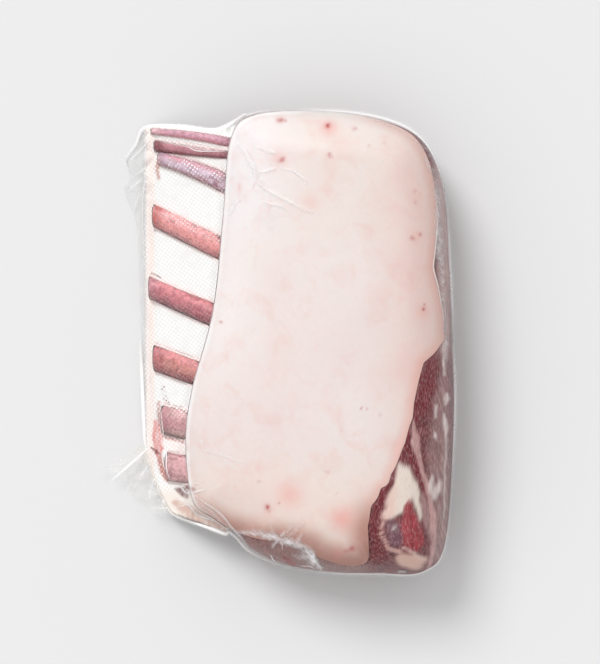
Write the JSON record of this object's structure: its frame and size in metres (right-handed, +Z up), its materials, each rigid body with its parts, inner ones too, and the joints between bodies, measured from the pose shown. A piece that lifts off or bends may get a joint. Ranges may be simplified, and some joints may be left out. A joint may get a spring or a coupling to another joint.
{
  "type": "rack of lamb",
  "caption": "Raw frenched rack of lamb, fat side up, with its bare ribs fanned to one side, shrunk tight in a clear vacuum bag that has a crumpled corner.",
  "frame": {"origin": "middle of the pack's bounding box, on the surface that it lies on", "axes": "+X from the bare rib ends to the chine side, +Y from the cut face to the far end, +Z up"},
  "size_m": [0.1488, 0.1929, 0.052],
  "materials": {
    "raw_lean": "raw dark-red lamb, moist, with silver skin and seams of fat",
    "raw_fat": "raw pale pink lamb fat with blood spots, seen through tight film",
    "raw_rib": "bare rib bone with pink skin, moist",
    "bag_film": "clear glossy vacuum bag film, wrinkled and finely dimpled"
  },
  "bodies": {
    "root": {"lean": "raw_lean", "fat_cap": "raw_fat", "rib_1": "raw_rib", "rib_2": "raw_rib", "rib_3": "raw_rib", "rib_4": "raw_rib", "rib_5": "raw_rib", "rib_6": "raw_rib", "rib_7": "raw_rib", "rib_8": "raw_rib", "vacuum_bag": "bag_film"}
  },
  "joints": []
}
